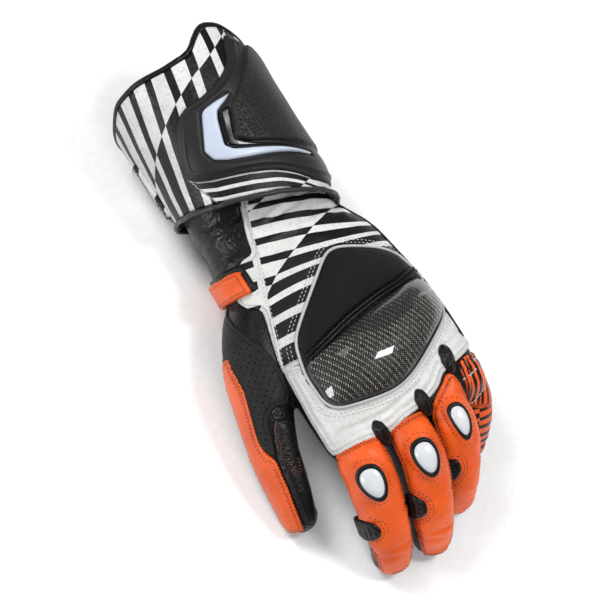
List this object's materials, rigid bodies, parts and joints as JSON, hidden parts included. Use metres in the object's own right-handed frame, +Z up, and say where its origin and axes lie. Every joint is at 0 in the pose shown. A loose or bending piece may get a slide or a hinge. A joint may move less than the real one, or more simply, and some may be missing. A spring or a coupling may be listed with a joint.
{
  "type": "motorcycle racing glove",
  "caption": "Left-hand leather racing glove with a gauntlet cuff, hard knuckle shell, finger sliders and padded wrist plate, lying palm down",
  "frame": {"origin": "centre of the bounding box at the bottom, on the surface that the glove lies on", "axes": "+X to the little-finger side, +Y from the fingertips to the cuff, +Z up through the back of the hand"},
  "size_m": [0.1392, 0.315, 0.0845],
  "materials": {
    "black_leather": "black leather, slight grain",
    "orange_leather": "smooth aniline leather, slight grain",
    "striped_leather": "white leather with black stripes that swap colour along a line",
    "white_leather": "coated leather, semi-gloss",
    "grey_leather": "dark grey leather, matt",
    "ribbed_fabric": "fine ribbed dark fabric",
    "carbon_shell": "clear-coated carbon twill",
    "slider": "hard white plastic",
    "grey_piping": "grey rolled piping",
    "moulded_plate": "moulded rubbery plastic, stippled",
    "gloss_black": "glossy black plastic",
    "reflective_inlay": "pale reflective film"
  },
  "bodies": {
    "root": {"palm_body": "black_leather", "index_stall": "black_leather", "middle_stall": "black_leather", "ring_stall": "black_leather", "little_stall": "black_leather", "thumb_stall": "black_leather", "index_back": "orange_leather", "middle_back": "orange_leather", "ring_back": "orange_leather", "little_back": "orange_leather", "thumb_back": "orange_leather", "thumb_pad": "black_leather", "back_panel": "striped_leather", "knuckle_band": "white_leather", "thumb_web": "grey_leather", "back_pad": "ribbed_fabric", "knuckle_shell": "carbon_shell", "knuckle_trim": "black_leather", "side_piping": "black_leather", "knuckle_gusset_1": "black_leather", "knuckle_gusset_2": "black_leather", "knuckle_gusset_3": "black_leather", "index_slider_rim": "black_leather", "index_slider": "slider", "middle_slider_rim": "black_leather", "middle_slider": "slider", "ring_slider_rim": "black_leather", "ring_slider": "slider", "index_vent": "black_leather", "middle_vent": "black_leather", "ring_vent": "black_leather", "wrist_strap": "black_leather", "strap_keeper": "orange_leather", "cuff_shell": "striped_leather", "cuff_binding": "black_leather", "cuff_hem": "grey_piping", "cuff_flap": "black_leather", "cuff_plate": "moulded_plate", "plate_pad": "moulded_plate", "plate_inset": "gloss_black", "plate_chevron": "reflective_inlay"}
  },
  "joints": []
}
